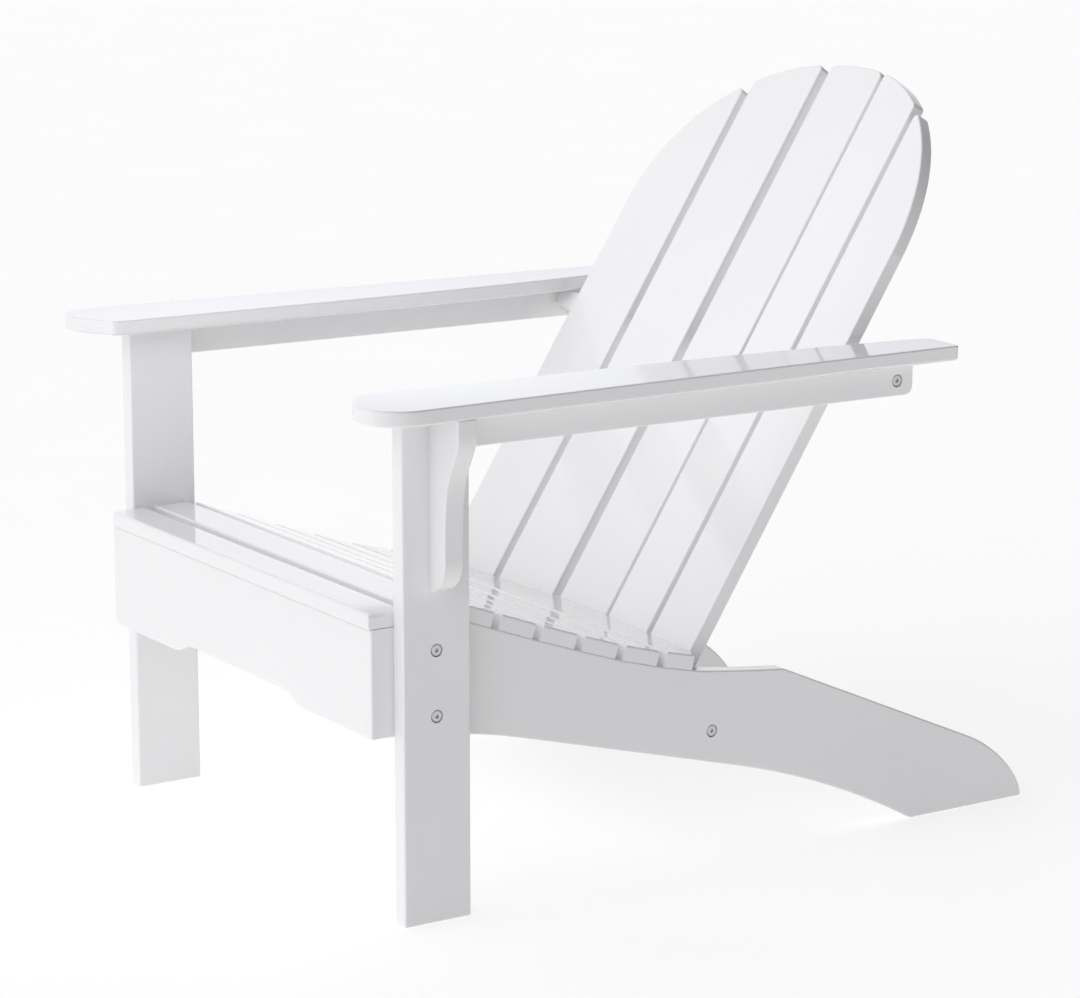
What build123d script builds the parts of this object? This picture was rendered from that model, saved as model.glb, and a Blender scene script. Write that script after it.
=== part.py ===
from build123d import *
from math import cos, radians, sin, tan
import os

# A garden armchair of painted boards: two front legs, two long seat rails that
# reach the floor at the back, eight seat slats, a fanned back of five boards and
# two wide arms. Millimetres, +Z up, the front faces -Y, +X is the sitter's left.
# The origin is on the floor, in the middle of the chair. Lengths called "run" are
# measured backwards from the legs' front faces.

# ---- driving dimensions ----
seat_height = 360.0  # floor to the top of the first slat
arm_height = 600.0  # floor to the top of the arms, over the legs
arm_span = 800.0  # across both arms
overall_height = 884.0
overall_depth = 968.0
arm_front = -60.0  # run of the arms' front tip, ahead of the legs

edge = 2.5  # rounding on the boards' edges
thin_edge = 2.0

# legs
leg_inner = 314.0  # the leg's inner face, flush with the seat rail's outer face
leg_thickness = 22.0
leg_depth = 86.5
leg_outer = leg_inner + leg_thickness

# seat rails
rail_thickness = 22.0
rail_inner = leg_inner - rail_thickness
rail_front = -10.0
rail_low_edge = 217.0
rail_belly = (165.0, 190.0)
rail_arch = (475.0, 107.0)
foot_front = 732.0
foot_rear = arm_front + overall_depth
rail_knee = (538.0, 217.0)
rail_tail = (826.0, 88.5)

# apron
apron_thickness = 18.0
apron_raise = 13.0  # how much higher its bottom edge is in the middle
apron_flat = 108.0  # half of the raised stretch
apron_ogee_end = 160.0
far_corner = 9.0  # rounding at the apron's and first slat's end on the sitter's right
near_corner = 2.0  # and on the left

# seat slats
slat_width = 48.5
slat_gap = 11.0
slat_thickness = 18.0
slat_nose = -31.2
slat_tilts = [0.0, 0.0, 20.5, 20.5, 19.5, 19.0, 16.0, 13.0]
nose_rounding = 4.5  # front edge of the first slat
last_slat_end = 40.0  # width of the last slat at its ends
last_slat_shoulder = 286.0
back_clearance = 1.0

# back
recline = 32.82  # from upright
back_run = 459.2
back_height = 240.0
board_width = 103.6
board_gap = 11.4
board_thickness = 17.0
board_foot = -105.0  # along the boards, from back_height
arch_base = 521.0
wing_angle = 7.74  # the outer boards are turned towards the sitter
wing_step = 4.0  # and stand this much proud of the middle one
board_corner = 8.0
board_tip = 6.0  # the sharper top corner on the side of the middle board

# rails across the back
cross_rail_thickness = 21.0
upper_rail_at = 374.0  # along the boards, from back_height
lower_rail_at = -84.0
centre_seat = 58.0  # half of the straight seat for the middle board
upper_rail_depth = 38.0
lower_rail_rear = 66.0

# arms
arm_thickness = 18.0
arm_pitch = 0.38  # they fall a little towards the back
arm_rear = 745.0
arm_inner = 287.0
arm_inner_heel = 14.0
arm_outer_heel = 9.0
arm_edge = 2.0
arm_low_edge = 3.5

# rails under the arms
arm_rail_thickness = 18.0
arm_rail_height = 39.0
arm_rail_rear = 690.0
arm_rail_corner = 11.0
bracket_gap = 0.5  # between the bracket and the rail behind it

# brackets under the arms
bracket_front = 35.0
bracket_thickness = 24.5
bracket_foot = 381.0

# hardware
bolt_radius = 3.0
bolt_hole_radius = 3.2
bolt_head_radius = 6.6
bolt_head_height = 2.8
recess_radius = 7.8
recess_depth = 3.4
socket_radius = 2.6
leg_bolt_run = 43.0
leg_bolt_heights = [239.0, 314.5]
barrel_radius = 5.0
barrel_hole_radius = 5.2
barrel_length = 10.0
barrel_inset = 30.0  # from the cross rail's end
nut_radius = 6.0
nut_height = 6.0
washer_radius = 8.5
washer_height = 1.5

os.makedirs("parts", exist_ok=True)

# ---- shared places ----
leg_line = -arm_front - overall_depth / 2  # Y of the legs' front faces

arm_slope = tan(radians(arm_pitch))
arm_top = Plane(
    origin=(0, leg_line, arm_height),
    x_dir=(1, 0, 0),
    z_dir=(0, sin(radians(arm_pitch)), cos(radians(arm_pitch))),
)

board_up = Vector(0, sin(radians(recline)), cos(radians(recline)))
board_out = Vector(0, -cos(radians(recline)), sin(radians(recline)))
middle_face = Plane(
    origin=(0, leg_line + back_run, back_height),
    x_dir=(1, 0, 0),
    z_dir=board_out,
)
board_pitch = board_width + board_gap
wing_start = board_pitch - board_width / 2  # inner edge of the first wing board
wing_slope = tan(radians(wing_angle))
arch_half_width = 2 * board_pitch + board_width / 2


def arm_underside(run):
    """Height of the arms' lower face above the floor."""
    return arm_height - arm_thickness / cos(radians(arm_pitch)) - run * arm_slope


def side_plane(x):
    """Upright plane facing +X: its x is the run, its y the height."""
    return Plane(origin=(x, leg_line, 0), x_dir=(0, 1, 0), z_dir=(1, 0, 0))


def front_plane(run):
    """Upright plane facing the front: its x is X, its y the height."""
    return Plane(origin=(0, leg_line + run, 0), x_dir=(1, 0, 0), z_dir=(0, -1, 0))


def outer_plane(side, x, spot):
    """Plane facing out at one side of the chair, centred on a bolt's axis."""
    return Plane(origin=(side * x, spot.Y, spot.Z), x_dir=(0, side, 0), z_dir=(side, 0, 0))


def wing_face(side):
    """Front face of the two outer boards on one side."""
    hinge = middle_face.from_local_coords(Vector(side * wing_start, 0, wing_step))
    turn = radians(wing_angle)
    across = Vector(1, 0, 0) * cos(turn) + board_out * (side * sin(turn))
    return Plane(origin=hinge, x_dir=across, z_dir=across.cross(board_up))


def across_back(along):
    """Plane square to the boards, at a distance along them: x is X, y runs backwards."""
    foot = Vector(0, leg_line + back_run, back_height)
    return Plane(origin=foot + board_up * along, x_dir=(1, 0, 0), z_dir=board_up)


def wing_front(x):
    """How far the front of the wing boards lies behind the middle board's front."""
    return -wing_step - (x - wing_start) * wing_slope


def wing_rear(x):
    """The same for the rear of the wing boards."""
    return wing_front(x) + board_thickness / cos(radians(wing_angle))


upper_bolt = across_back(upper_rail_at).from_local_coords(Vector(0, 2.6, 4.5))
lower_bolt = across_back(lower_rail_at).from_local_coords(Vector(0, 23, 0))
leg_bolts_at = [Vector(0, leg_line + leg_bolt_run, height) for height in leg_bolt_heights]


def save(piece, name):
    piece.part.label = name
    export_step(piece.part, f"parts/{name}.step")


# ---- the seat line: the slats' upper faces follow each other round the seat ----
slat_tops = []
run_at = slat_nose
height_at = seat_height
for number, tilt in enumerate(slat_tilts):
    if number:
        for half_gap_tilt in (slat_tilts[number - 1], tilt):
            run_at += slat_gap / 2 * cos(radians(half_gap_tilt))
            height_at -= slat_gap / 2 * sin(radians(half_gap_tilt))
    slat_tops.append((run_at, height_at))
    run_at += slat_width * cos(radians(tilt))
    height_at -= slat_width * sin(radians(tilt))


def slat_plane(number):
    """Underside of a slat: x is X, y runs along its width to the back."""
    run, height = slat_tops[number]
    tilt = radians(slat_tilts[number])
    up = Vector(0, sin(tilt), cos(tilt))
    corner = Vector(0, leg_line + run, height)
    return Plane(origin=corner - up * slat_thickness, x_dir=(1, 0, 0), z_dir=up)


def seat_line_point(number, width):
    """Run and height of a point on a slat's underside."""
    point = slat_plane(number).from_local_coords(Vector(0, width, 0))
    return (point.Y - leg_line, point.Z)


# ---- front legs ----
def make_leg(side):
    with BuildPart() as leg:
        with BuildSketch(side_plane(min(side * leg_inner, side * leg_outer))):
            with BuildLine():
                Polyline(
                    (0, 0),
                    (leg_depth, 0),
                    (leg_depth, arm_underside(leg_depth)),
                    (0, arm_underside(0)),
                    close=True,
                )
            make_face()
        extrude(amount=leg_thickness)
        top = leg.faces().sort_by(Axis.Z)[-1]
        fillet(leg.edges() - top.edges(), edge)
        with Locations(*[outer_plane(side, leg_outer, spot) for spot in leg_bolts_at]):
            CounterBoreHole(bolt_hole_radius, recess_radius, recess_depth, depth=leg_thickness + 1)
    return leg


# ---- seat rails ----
def make_seat_rail(side):
    with BuildPart() as rail:
        with BuildSketch(side_plane(min(side * leg_inner, side * rail_inner))):
            with BuildLine():
                start = (rail_front, rail_low_edge)
                front_run = ThreePointArc(start, (78, 208), rail_belly)
                belly = Line(front_run @ 1, rail_arch)
                arch = ThreePointArc(belly @ 1, (606, 62), (foot_front, 0))
                sole = Line(arch @ 1, (foot_rear, 0))
                heel = Bezier(sole @ 1, (foot_rear, 30), (862, 72), rail_tail)
                tail = Line(heel @ 1, rail_knee)
                last = len(slat_tilts) - 1
                seat_end = seat_line_point(last, last_slat_end + 14)
                hollow = ThreePointArc(tail @ 1, (472, 224.5), seat_end)
                seat_points = [seat_end]
                for number in range(last, -1, -1):
                    if number < last:
                        seat_points.append(seat_line_point(number, slat_width))
                    run, height = seat_line_point(number, 0)
                    seat_points.append((max(run, rail_front), height))
                seat_run = Polyline(*seat_points)
                Line(seat_run @ 1, start)
            make_face()
            fillet(vertices().sort_by_distance((foot_front, 0))[0], 8)
            fillet(vertices().sort_by_distance((foot_rear, 0))[0], 4)
            fillet(vertices().sort_by_distance(rail_knee)[0], 10)
        extrude(amount=rail_thickness)
        free_edges = rail.edges().filter_by(
            lambda e: (e.center().Y > leg_line + rail_arch[0] - 150 and e.center().Z < 150)
            or e.center().Y > leg_line + seat_end[0] + 5
        )
        fillet(free_edges.filter_by(Axis.X, reverse=True), thin_edge)
        with Locations(*[outer_plane(side, leg_inner, spot) for spot in leg_bolts_at]):
            Hole(bolt_hole_radius, depth=rail_thickness + 1)
        with Locations(outer_plane(side, leg_inner, lower_bolt)):
            CounterBoreHole(bolt_hole_radius, recess_radius, recess_depth, depth=rail_thickness + 1)
    return rail


# ---- apron: straight on top, raised in the middle of its bottom edge ----
def make_apron():
    top = seat_height - slat_thickness
    middle_low = rail_low_edge + apron_raise
    with BuildPart() as apron:
        with BuildSketch(front_plane(rail_front)):
            with BuildLine():
                left_s = Spline(
                    (-apron_ogee_end, rail_low_edge),
                    (-apron_flat, middle_low),
                    tangents=((1, 0), (1, 0)),
                )
                Line(left_s @ 1, (apron_flat, middle_low))
                right_s = Spline(
                    (apron_flat, middle_low),
                    (apron_ogee_end, rail_low_edge),
                    tangents=((1, 0), (1, 0)),
                )
                Polyline(
                    right_s @ 1,
                    (leg_inner, rail_low_edge),
                    (leg_inner, top),
                    (-leg_inner, top),
                    (-leg_inner, rail_low_edge),
                    left_s @ 0,
                )
            make_face()
            fillet(vertices().sort_by_distance((-leg_inner, rail_low_edge))[0], far_corner)
            fillet(vertices().sort_by_distance((leg_inner, rail_low_edge))[0], near_corner)
        extrude(amount=apron_thickness)
        front_edges = apron.faces().sort_by(Axis.Y)[0].edges()
        fillet(front_edges, edge)
    return apron


save(make_apron(), "front_apron")
for side, hand in ((1, "left"), (-1, "right")):
    save(make_leg(side), f"{hand}_front_leg")
    save(make_seat_rail(side), f"{hand}_seat_rail")

# ---- seat slats ----
# the space that the back takes up, which the last slat is cut to follow
with BuildPart() as back_space:
    with BuildSketch(across_back(0)):
        reach = arm_span / 2
        with BuildLine():
            Polyline(
                (-reach, wing_front(reach) - back_clearance),
                (-centre_seat, wing_front(centre_seat) - back_clearance),
                (-centre_seat, -back_clearance),
                (centre_seat, -back_clearance),
                (centre_seat, wing_front(centre_seat) - back_clearance),
                (reach, wing_front(reach) - back_clearance),
                (reach, reach),
                (-reach, reach),
                close=True,
            )
        make_face()
    extrude(amount=reach / 2, both=True)


def make_slat(number):
    plane = slat_plane(number)
    last = number == len(slat_tilts) - 1
    with BuildPart() as slat:
        with BuildSketch(plane):
            if last:
                # between the seat rails the last slat reaches back to the boards
                shoulder_at = last_slat_end + 16
                with BuildLine():
                    Polyline(
                        (-leg_inner, 0),
                        (leg_inner, 0),
                        (leg_inner, last_slat_end),
                        (last_slat_shoulder, shoulder_at),
                        (last_slat_shoulder, shoulder_at + 100),
                        (-last_slat_shoulder, shoulder_at + 100),
                        (-last_slat_shoulder, shoulder_at),
                        (-leg_inner, last_slat_end),
                        close=True,
                    )
                make_face()
            else:
                Rectangle(2 * leg_inner, slat_width, align=(Align.CENTER, Align.MIN))
            if number == 0:
                fillet(vertices().sort_by_distance((-leg_inner, 0))[0], far_corner)
                fillet(vertices().sort_by_distance((leg_inner, 0))[0], near_corner)
        extrude(amount=slat_thickness)
        if last:
            add(back_space.part, mode=Mode.SUBTRACT)
        top = slat.faces().filter_by(lambda f: f.normal_at().dot(plane.z_dir) > 0.999)
        fillet(top.edges(), nose_rounding if number == 0 else edge)
        if number == 0:
            fillet(slat.faces().sort_by(Axis.Z)[0].edges().sort_by(Axis.Y)[0], edge)
    return slat


for number in range(len(slat_tilts)):
    save(make_slat(number), f"seat_slat_{number + 1}")

# ---- back boards, numbered from the sitter's right to the left ----
# the crown is set so that the rounded top of the middle board is at overall_height
rounding_loss = thin_edge * (1 - cos(radians(recline)) - sin(radians(recline)))
crown = (overall_height - back_height - rounding_loss) / cos(radians(recline))


def make_board(place):
    if place:
        side = 1 if place > 0 else -1
        plane = wing_face(side)
        shift = side * wing_start
    else:
        side = 1
        plane = middle_face
        shift = 0.0
    centre = place * board_pitch - shift
    inner = centre - side * board_width / 2
    outer = centre + side * board_width / 2
    with BuildPart() as board:
        with BuildSketch(plane):
            with Locations((-shift, arch_base)):
                Ellipse(arch_half_width, crown - arch_base)
            with Locations((-shift, (board_foot + arch_base) / 2)):
                Rectangle(2 * arch_half_width, arch_base - board_foot)
            with Locations((centre, 0)):
                Rectangle(board_width, 4 * arch_base, mode=Mode.INTERSECT)
            fillet(vertices().sort_by_distance((inner, crown))[0], board_tip if place else board_corner)
            if abs(place) < 2:
                fillet(vertices().sort_by_distance((outer, crown))[0], board_corner)
        extrude(amount=-board_thickness)
        fillet(board.edges(), thin_edge)
    return board


for place in range(-2, 3):
    save(make_board(place), f"back_board_{place + 3}")


# ---- rails across the back, their front edges cut to seat the boards ----
def make_cross_rail(along, half, rear, bolt):
    """A board square to the back, with holes for the bolts and their barrel nuts."""
    level = across_back(along - cross_rail_thickness / 2)
    with BuildPart() as rail:
        with BuildSketch(level):
            with BuildLine():
                Polyline(
                    (-half, wing_rear(half)),
                    (-centre_seat, wing_rear(centre_seat)),
                    (-centre_seat, board_thickness),
                    (centre_seat, board_thickness),
                    (centre_seat, wing_rear(centre_seat)),
                    (half, wing_rear(half)),
                    *rear,
                    close=True,
                )
            make_face()
        extrude(amount=cross_rail_thickness)
        rear_faces = rail.faces().filter_by(lambda f: f.normal_at().dot(board_out) < -0.9)
        fillet(rear_faces.edges().filter_by(lambda e: abs(e.center().X) < half - 1), thin_edge)
        for side in (-1, 1):
            with Locations(outer_plane(side, half, bolt)):
                Hole(bolt_hole_radius, depth=barrel_inset + barrel_radius + 4)
            spot = level.to_local_coords(Vector(side * (half - barrel_inset), bolt.Y, bolt.Z))
            with BuildSketch(level.offset(spot.Z - barrel_length / 2 - 0.2)):
                with Locations((spot.X, spot.Y)):
                    Circle(barrel_hole_radius)
            extrude(amount=cross_rail_thickness, mode=Mode.SUBTRACT)
    return rail


def rear_points(half):
    """The upper rail's rear edge runs parallel to its front edge."""
    turns = [half, centre_seat, -centre_seat, -half]
    return [(x, wing_rear(abs(x)) + upper_rail_depth) for x in turns]


lower_rear = [(rail_inner, lower_rail_rear), (-rail_inner, lower_rail_rear)]
upper_rail = make_cross_rail(upper_rail_at, leg_outer, rear_points(leg_outer), upper_bolt)
save(upper_rail, "upper_back_rail")
save(make_cross_rail(lower_rail_at, rail_inner, lower_rear, lower_bolt), "lower_back_rail")


# ---- arms ----
def make_arm(side):
    tip_outer = arm_span / 2
    with BuildPart() as arm:
        with BuildSketch(arm_top.offset(-arm_thickness)):
            with BuildLine():
                straight = Line((arm_inner, -14), (arm_inner, 120))
                flare = Spline(
                    straight @ 1,
                    (297, 567),
                    (315, arm_rear),
                    tangents=((0, 1), (0.14, 1)),
                )
                rear_end = Line(flare @ 1, (377, arm_rear - 2))
                outer = ThreePointArc(rear_end @ 1, (386.5, 340), (tip_outer, 0))
                Spline(
                    outer @ 1,
                    (396, -36),
                    (380, -54.5),
                    (352, arm_front),
                    (322, -53),
                    (297, -36),
                    straight @ 0,
                    tangents=(outer % 1, (0, 1)),
                )
            make_face()
            fillet(vertices().sort_by_distance(flare @ 1)[0], arm_inner_heel)
            fillet(vertices().sort_by_distance(rear_end @ 1)[0], arm_outer_heel)
            if side < 0:
                mirror(about=Plane.YZ, mode=Mode.REPLACE)
        extrude(amount=arm_thickness)
        fillet(arm.faces().sort_by(Axis.Z)[-1].edges(), arm_edge)
        fillet(arm.faces().sort_by(Axis.Z)[0].edges(), arm_low_edge)
    return arm


def make_arm_rail(side):
    """Board on edge under the arm, from behind the bracket to past the back."""
    start_x = min(side * leg_outer, side * (leg_outer + arm_rail_thickness))
    run_start = bracket_front + bracket_thickness
    plane = Plane(origin=(start_x, leg_line, arm_height), x_dir=arm_top.y_dir, z_dir=(1, 0, 0))
    with BuildPart() as rail:
        with BuildSketch(plane):
            with Locations((run_start + bracket_gap, -arm_thickness)):
                Rectangle(
                    arm_rail_rear - run_start,
                    arm_rail_height,
                    align=(Align.MIN, Align.MAX),
                )
            fillet(vertices().group_by(Axis.Y)[0].sort_by(Axis.X)[-1], arm_rail_corner)
        extrude(amount=arm_rail_thickness)
        underside = rail.faces().sort_by(Axis.Z)[0]
        fillet(underside.edges().filter_by(Axis.X, reverse=True), thin_edge)
        with Locations(outer_plane(side, leg_outer + arm_rail_thickness, upper_bolt)):
            CounterBoreHole(bolt_hole_radius, recess_radius, recess_depth, depth=arm_rail_thickness + 1)
    return rail


def make_bracket(side):
    """S-shaped board on the leg's outer face, carrying the arm's overhang."""
    top = arm_underside(bracket_front + bracket_thickness)
    with BuildPart() as bracket:
        with BuildSketch(front_plane(bracket_front + bracket_thickness)):
            with BuildLine():
                wall = Line((leg_outer, bracket_foot), (leg_outer, top))
                lip = Polyline(wall @ 1, (leg_outer + 60, top), (leg_outer + 60, top - 16))
                scroll = Spline(
                    lip @ 1,
                    (leg_outer + 53, top - 41),
                    (leg_outer + 42, top - 62),
                    (leg_outer + 34, top - 90),
                    (leg_outer + 31, top - 125),
                    (leg_outer + 30.5, bracket_foot + 43),
                    tangents=((0, -1), (0, -1)),
                )
                ThreePointArc(scroll @ 1, (leg_outer + 22, bracket_foot + 14), wall @ 0)
            make_face()
            if side < 0:
                mirror(about=Plane.YZ, mode=Mode.REPLACE)
        extrude(amount=bracket_thickness)
        rounded = bracket.edges().filter_by(
            lambda e: abs(e.center().X) > leg_outer + 1
            and e.center().Z < top - 1
            and abs(e.tangent_at(0.5).Y) < 0.5
        )
        fillet(rounded, thin_edge)
    return bracket


for side, hand in ((1, "left"), (-1, "right")):
    save(make_arm(side), f"{hand}_arm")
    save(make_arm_rail(side), f"{hand}_arm_rail")
    save(make_bracket(side), f"{hand}_arm_bracket")


# ---- bolts: a flat head with a hex socket, in a round recess ----
def make_bolt(face, length):
    """A bolt whose head stands in the recess under this face; length is its shank's."""
    seat = face.offset(-recess_depth)
    with BuildPart() as bolt:
        with BuildSketch(seat):
            Circle(bolt_head_radius)
        extrude(amount=bolt_head_height)
        rim = bolt.edges().filter_by(
            lambda e: seat.to_local_coords(e.center()).Z > bolt_head_height - 0.1
        )
        chamfer(rim, 0.7)
        with BuildSketch(seat):
            Circle(bolt_radius)
        extrude(amount=-length)
        with BuildSketch(seat.offset(bolt_head_height)):
            RegularPolygon(socket_radius, 6)
        extrude(amount=-bolt_head_height * 0.8, mode=Mode.SUBTRACT)
    return bolt.part


def save_bolts(name, x, spots, length):
    bolts = [make_bolt(outer_plane(side, x, spot), length) for side in (-1, 1) for spot in spots]
    with BuildPart() as group:
        add(bolts)
    save(group, name)


leg_bolt_length = leg_thickness + rail_thickness + washer_height + nut_height - recess_depth
barrel_bolt_reach = barrel_inset + barrel_radius + 2 - recess_depth
save_bolts("leg_bolts", leg_outer, leg_bolts_at, leg_bolt_length)
save_bolts("seat_rail_bolts", leg_inner, [lower_bolt], rail_thickness + barrel_bolt_reach)
arm_rail_face = leg_outer + arm_rail_thickness
save_bolts("arm_rail_bolts", arm_rail_face, [upper_bolt], arm_rail_thickness + barrel_bolt_reach)


# ---- nuts and washers inside the seat rails, barrel nuts in the cross rails ----
def make_nut(face):
    with BuildPart() as nut:
        with BuildSketch(face):
            Circle(washer_radius)
            Circle(bolt_hole_radius, mode=Mode.SUBTRACT)
        extrude(amount=-washer_height)
        with BuildSketch(face.offset(-washer_height)):
            RegularPolygon(nut_radius, 6)
            Circle(bolt_hole_radius, mode=Mode.SUBTRACT)
        extrude(amount=-nut_height)
    return nut.part


def make_barrel_nut(side, along, half, bolt):
    level = across_back(along)
    spot = level.to_local_coords(Vector(side * (half - barrel_inset), bolt.Y, bolt.Z))
    with BuildPart() as barrel:
        with BuildSketch(level.offset(spot.Z - barrel_length / 2)):
            with Locations((spot.X, spot.Y)):
                Circle(barrel_radius)
        extrude(amount=barrel_length)
        with Locations(outer_plane(side, half - barrel_inset + 8, bolt)):
            Hole(bolt_hole_radius, depth=16)
    return barrel.part


nuts = [make_nut(outer_plane(side, rail_inner, spot)) for side in (-1, 1) for spot in leg_bolts_at]
with BuildPart() as leg_bolt_nuts:
    add(nuts)
save(leg_bolt_nuts, "leg_bolt_nuts")

barrels = []
for side in (-1, 1):
    barrels.append(make_barrel_nut(side, upper_rail_at, leg_outer, upper_bolt))
    barrels.append(make_barrel_nut(side, lower_rail_at, rail_inner, lower_bolt))
with BuildPart() as barrel_nuts:
    add(barrels)
save(barrel_nuts, "barrel_nuts")
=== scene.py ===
import math

import bpy
from mathutils import Matrix, Vector

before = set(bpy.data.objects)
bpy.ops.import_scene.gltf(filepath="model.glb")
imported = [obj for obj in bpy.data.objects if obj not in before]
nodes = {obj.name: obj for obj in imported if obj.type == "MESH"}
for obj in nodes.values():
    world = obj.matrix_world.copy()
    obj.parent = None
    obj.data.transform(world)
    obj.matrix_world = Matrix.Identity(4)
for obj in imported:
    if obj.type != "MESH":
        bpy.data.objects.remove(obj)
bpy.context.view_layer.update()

scene = bpy.context.scene
scene.view_settings.view_transform = "Standard"
scene.view_settings.look = "None"

# ---- camera ----
AZIMUTH = math.radians(57.06)  # from the chair's front towards the sitter's left
ELEVATION = math.radians(12.308)
CAMERA_PLACE = (3.71355, -2.43385, 1.34743)
LENS = 123.4
camera_data = bpy.data.cameras.new("camera")
camera_data.sensor_width = 36.0
camera_data.lens = LENS
camera_data.clip_end = 200.0
camera = bpy.data.objects.new("camera", camera_data)
scene.collection.objects.link(camera)
right = Vector((math.cos(AZIMUTH), math.sin(AZIMUTH), 0))
back = Vector((
    math.sin(AZIMUTH) * math.cos(ELEVATION),
    -math.cos(AZIMUTH) * math.cos(ELEVATION),
    math.sin(ELEVATION),
))
up = back.cross(right)
turn = Matrix((right, up, back)).transposed()
camera.matrix_world = Matrix.Translation(CAMERA_PLACE) @ turn.to_4x4()
scene.camera = camera


# ---- node helpers ----
NOISE_LOW = 0.3  # nearly all of a noise texture's values lie between these
NOISE_HIGH = 0.7


def socket_set(shader, **values):
    for name, value in values.items():
        shader.inputs[name.replace("_", " ")].default_value = value


def noise(tree, vector, scale, detail, rough=0.5, distortion=0.0):
    """A noise texture's value; scale is in waves per metre."""
    node = tree.nodes.new("ShaderNodeTexNoise")
    node.inputs["Scale"].default_value = scale
    node.inputs["Detail"].default_value = detail
    node.inputs["Roughness"].default_value = rough
    node.inputs["Distortion"].default_value = distortion
    tree.links.new(vector, node.inputs["Vector"])
    return node.outputs["Fac"]


def ranged(tree, value, to_low, to_high):
    """The middle of a noise's range, spread between two values."""
    node = tree.nodes.new("ShaderNodeMapRange")
    node.inputs["From Min"].default_value = NOISE_LOW
    node.inputs["From Max"].default_value = NOISE_HIGH
    node.inputs["To Min"].default_value = to_low
    node.inputs["To Max"].default_value = to_high
    tree.links.new(value, node.inputs["Value"])
    return node.outputs["Result"]


def ramp(tree, value, stops):
    """Colours laid out along a value; each stop is a place and a colour."""
    node = tree.nodes.new("ShaderNodeValToRGB")
    elements = node.color_ramp.elements
    while len(elements) < len(stops):
        elements.new(0.5)
    for element, (place, colour) in zip(elements, stops):
        element.position = place
        element.color = (*colour, 1)
    tree.links.new(value, node.inputs["Fac"])
    return node.outputs["Color"]


def bump(tree, height, strength, distance, below=None):
    """A bumped normal; distance is the height in metres, below is the coarser bump under it."""
    node = tree.nodes.new("ShaderNodeBump")
    node.inputs["Strength"].default_value = strength
    node.inputs["Distance"].default_value = distance
    tree.links.new(height, node.inputs["Height"])
    if below:
        tree.links.new(below, node.inputs["Normal"])
    return node.outputs["Normal"]


# ---- white gloss lacquer over wood ----
GRAIN_STRETCH = (0.035, 1, 1)  # squeezes the noise's coordinates along the grain
LACQUER_SHADE = (0.865, 0.864, 0.866)
LACQUER_WHITE = (0.885, 0.885, 0.886)
STREAK_SHADE = (0.988, 0.987, 0.985)
LACQUER_ROUGHNESS = (0.06, 0.10)
WAVE_BUMP = (0.006, 0.002)  # strength and height of each bump
RING_BUMP = (0.005, 0.0005)
GRAIN_BUMP = (0.005, 0.0002)
PEEL_BUMP = (0.005, 0.0001)


def lacquer(name, turn_to_grain, offset):
    """The grain runs along the mapped X axis, and each board has its own piece of wood."""
    material = bpy.data.materials.new(name)
    material.use_nodes = True
    tree = material.node_tree
    shader = tree.nodes["Principled BSDF"]
    place = tree.nodes.new("ShaderNodeTexCoord").outputs["Object"]
    board = tree.nodes.new("ShaderNodeMapping")
    board.inputs["Rotation"].default_value = turn_to_grain
    board.inputs["Location"].default_value = offset
    tree.links.new(place, board.inputs["Vector"])
    grain_space = tree.nodes.new("ShaderNodeMapping")
    grain_space.inputs["Scale"].default_value = GRAIN_STRETCH
    tree.links.new(board.outputs["Vector"], grain_space.inputs["Vector"])
    grain = noise(tree, grain_space.outputs["Vector"], 420, 4, 0.6, 0.4)
    rings = noise(tree, grain_space.outputs["Vector"], 60, 3, 0.5, 1.2)
    cloud = noise(tree, board.outputs["Vector"], 6, 3)
    peel = noise(tree, board.outputs["Vector"], 420, 2, 0.4)
    wave = noise(tree, board.outputs["Vector"], 18, 2, 0.45)

    mix = tree.nodes.new("ShaderNodeMix")
    mix.data_type = "RGBA"
    mix.blend_type = "MULTIPLY"
    mix.inputs["Factor"].default_value = 1.0
    tint = ramp(tree, cloud, [(NOISE_LOW, LACQUER_SHADE), (NOISE_HIGH, LACQUER_WHITE)])
    streak = ramp(tree, grain, [(0.32, STREAK_SHADE), (0.6, (1, 1, 1))])
    tree.links.new(tint, mix.inputs["A"])
    tree.links.new(streak, mix.inputs["B"])
    tree.links.new(mix.outputs["Result"], shader.inputs["Base Color"])
    tree.links.new(ranged(tree, cloud, *LACQUER_ROUGHNESS), shader.inputs["Roughness"])
    normal = bump(tree, wave, *WAVE_BUMP)
    normal = bump(tree, rings, *RING_BUMP, normal)
    normal = bump(tree, grain, *GRAIN_BUMP, normal)
    normal = bump(tree, peel, *PEEL_BUMP, normal)
    tree.links.new(normal, shader.inputs["Normal"])
    socket_set(shader, IOR=1.5, Coat_Weight=0.6, Coat_Roughness=0.04)
    return material


# ---- brushed steel of the bolts and nuts ----
STEEL_SHADE = (0.5, 0.51, 0.53)
STEEL_LIGHT = (0.66, 0.66, 0.66)
STEEL_ROUGHNESS = (0.24, 0.38)
SCRATCH_BUMP = (0.15, 0.0001)


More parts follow.
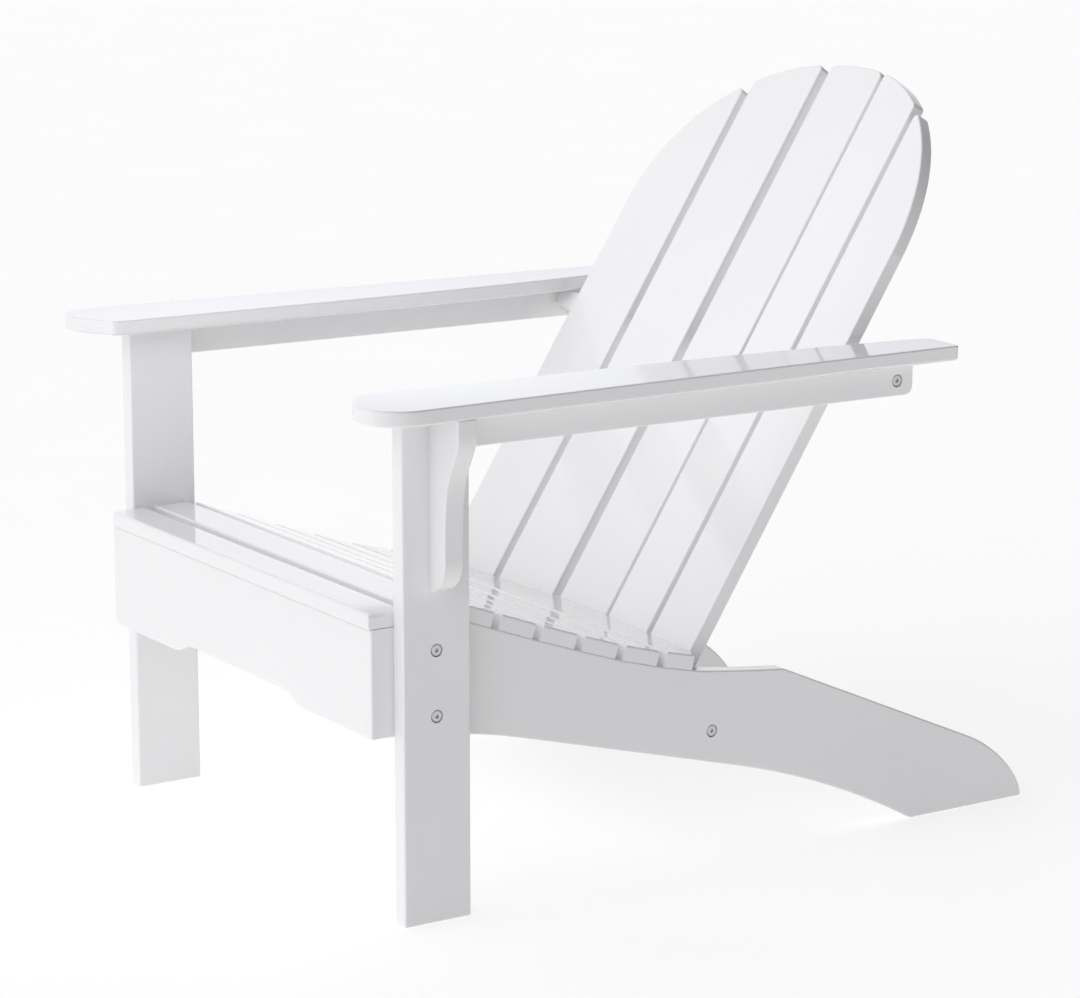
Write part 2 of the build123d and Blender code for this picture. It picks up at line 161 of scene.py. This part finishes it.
def steel(name, seed):
    """Each seed gives the piece its own marks."""
    material = bpy.data.materials.new(name)
    material.use_nodes = True
    tree = material.node_tree
    shader = tree.nodes["Principled BSDF"]
    place = tree.nodes.new("ShaderNodeTexCoord").outputs["Object"]
    shifted = tree.nodes.new("ShaderNodeMapping")
    shifted.inputs["Location"].default_value = (seed, seed * 2, seed * 3)
    tree.links.new(place, shifted.inputs["Vector"])
    bloom = noise(tree, shifted.outputs["Vector"], 260, 4, 0.6)
    scratch = noise(tree, shifted.outputs["Vector"], 2600, 3, 0.7)
    colour = ramp(tree, bloom, [(NOISE_LOW, STEEL_SHADE), (NOISE_HIGH, STEEL_LIGHT)])
    tree.links.new(colour, shader.inputs["Base Color"])
    tree.links.new(ranged(tree, bloom, *STEEL_ROUGHNESS), shader.inputs["Roughness"])
    tree.links.new(bump(tree, scratch, *SCRATCH_BUMP), shader.inputs["Normal"])
    socket_set(shader, Metallic=1.0)
    return material


def dress(node, material):
    mesh = nodes[node].data
    mesh.materials.clear()
    mesh.materials.append(material)


# ---- which way each board's grain runs ----
ALONG_X = (0, 0, 0)
ALONG_Y = (0, 0, math.radians(90))
ALONG_Z = (0, math.radians(90), 0)
ALONG_BACK = (math.radians(32.82), math.radians(90), 0)
ALONG_SEAT_RAIL = (math.radians(15), 0, math.radians(90))

directions = {}
for hand in ("left", "right"):
    directions[f"{hand}_front_leg"] = ALONG_Z
    directions[f"{hand}_arm_bracket"] = ALONG_Z
    directions[f"{hand}_arm"] = ALONG_Y
    directions[f"{hand}_arm_rail"] = ALONG_Y
    directions[f"{hand}_seat_rail"] = ALONG_SEAT_RAIL
for number in range(1, 9):
    directions[f"seat_slat_{number}"] = ALONG_X
for number in range(1, 6):
    directions[f"back_board_{number}"] = ALONG_BACK
for name in ("front_apron", "upper_back_rail", "lower_back_rail"):
    directions[name] = ALONG_X

# each board's texture is moved by a step of its own, so that no two boards look alike
BOARD_STEP = (0.37, 0.53, 0.71)
STEEL_STEP = 0.3
FASTENERS = ("leg_bolts", "seat_rail_bolts", "arm_rail_bolts", "leg_bolt_nuts", "barrel_nuts")
for index, (node, direction) in enumerate(sorted(directions.items())):
    offset = tuple(step * index for step in BOARD_STEP)
    dress(node, lacquer(f"lacquer_{node}", direction, offset))
for index, node in enumerate(FASTENERS):
    dress(node, steel(f"steel_{node}", STEEL_STEP * index))

# ---- floor: pale paper that glows a little, so that it stays nearly white ----
FLOOR_REACH = 40.0
PAPER_SHADE = (0.49, 0.49, 0.49)
PAPER_LIGHT = (0.51, 0.51, 0.51)
floor_mesh = bpy.data.meshes.new("floor")
floor_mesh.from_pydata(
    [
        (-FLOOR_REACH, -FLOOR_REACH, 0),
        (FLOOR_REACH, -FLOOR_REACH, 0),
        (FLOOR_REACH, FLOOR_REACH, 0),
        (-FLOOR_REACH, FLOOR_REACH, 0),
    ],
    [],
    [(0, 1, 2, 3)],
)
floor = bpy.data.objects.new("floor", floor_mesh)
scene.collection.objects.link(floor)
paper = bpy.data.materials.new("paper")
paper.use_nodes = True
tree = paper.node_tree
shader = tree.nodes["Principled BSDF"]
place = tree.nodes.new("ShaderNodeTexCoord").outputs["Object"]
mottle = noise(tree, place, 3, 3)
tree.links.new(
    ramp(tree, mottle, [(NOISE_LOW, PAPER_SHADE), (NOISE_HIGH, PAPER_LIGHT)]),
    shader.inputs["Base Color"],
)
socket_set(shader, Roughness=0.95, Specular_IOR_Level=0.1)
socket_set(shader, Emission_Color=(1, 1, 1, 1), Emission_Strength=0.67)
floor_mesh.materials.append(paper)

# ---- light: soft lights in a dark studio, each a smooth lobe of the world ----
SOFT_LIGHTS = [
    # direction, how narrow the lobe is, colour
    ((0.0, -0.71, 0.71), 4, (1.02, 1.02, 1.01)),  # key, above the front
    ((-0.5, -0.5, 0.71), 4, (0.25, 0.25, 0.25)),  # above the sitter's right knee
    ((-1.0, 0.0, 0.0), 2, (0.76, 0.76, 0.79)),  # pale wall on the sitter's right
    ((-0.75, 0.6, 0.28), 4, (0.56, 0.57, 0.61)),  # behind the sitter's right shoulder
    ((0.0, -1.0, 0.0), 2, (0.29, 0.29, 0.28)),  # pale wall in front
    ((0.5, -0.8, 0.3), 4, (0.60, 0.59, 0.68)),  # fill, in front of the sitter's left
]
world = bpy.data.worlds.new("world")
scene.world = world
world.use_nodes = True
tree = world.node_tree
background = tree.nodes["Background"]
direction = tree.nodes.new("ShaderNodeTexCoord").outputs["Generated"]


def math_node(tree, operation, value, constant):
    """The result of an operation on a value and a constant."""
    node = tree.nodes.new("ShaderNodeMath")
    node.operation = operation
    tree.links.new(value, node.inputs[0])
    node.inputs[1].default_value = constant
    return node.outputs["Value"]


sky = None
for toward, narrowness, colour in SOFT_LIGHTS:
    facing = tree.nodes.new("ShaderNodeVectorMath")
    facing.operation = "DOT_PRODUCT"
    facing.inputs[1].default_value = Vector(toward).normalized()
    tree.links.new(direction, facing.inputs[0])
    lobe = math_node(tree, "MAXIMUM", facing.outputs["Value"], 0.0)
    lobe = math_node(tree, "POWER", lobe, narrowness)
    tinted = tree.nodes.new("ShaderNodeVectorMath")
    tinted.operation = "SCALE"
    tinted.inputs[0].default_value = colour
    tree.links.new(lobe, tinted.inputs["Scale"])
    light = tinted.outputs["Vector"]
    if sky:
        total = tree.nodes.new("ShaderNodeVectorMath")
        tree.links.new(sky, total.inputs[0])
        tree.links.new(light, total.inputs[1])
        light = total.outputs["Vector"]
    sky = light
tree.links.new(sky, background.inputs["Color"])
background.inputs["Strength"].default_value = 1.0

# a soft panel over the seat lights the inner faces on the sitter's right
PANEL_PLACE = (0.08, -0.42, 1.0)
PANEL_AIM = Vector((-0.33, 0.0, 0.45))
panel_data = bpy.data.lights.new("seat_panel", "AREA")
panel_data.energy = 1.35
panel_data.size = 0.5
panel = bpy.data.objects.new("seat_panel", panel_data)
scene.collection.objects.link(panel)
panel.location = PANEL_PLACE
panel.rotation_mode = "QUATERNION"
panel.rotation_quaternion = (PANEL_AIM - panel.location).to_track_quat("-Z", "Y")
panel.visible_camera = False
panel.visible_glossy = False
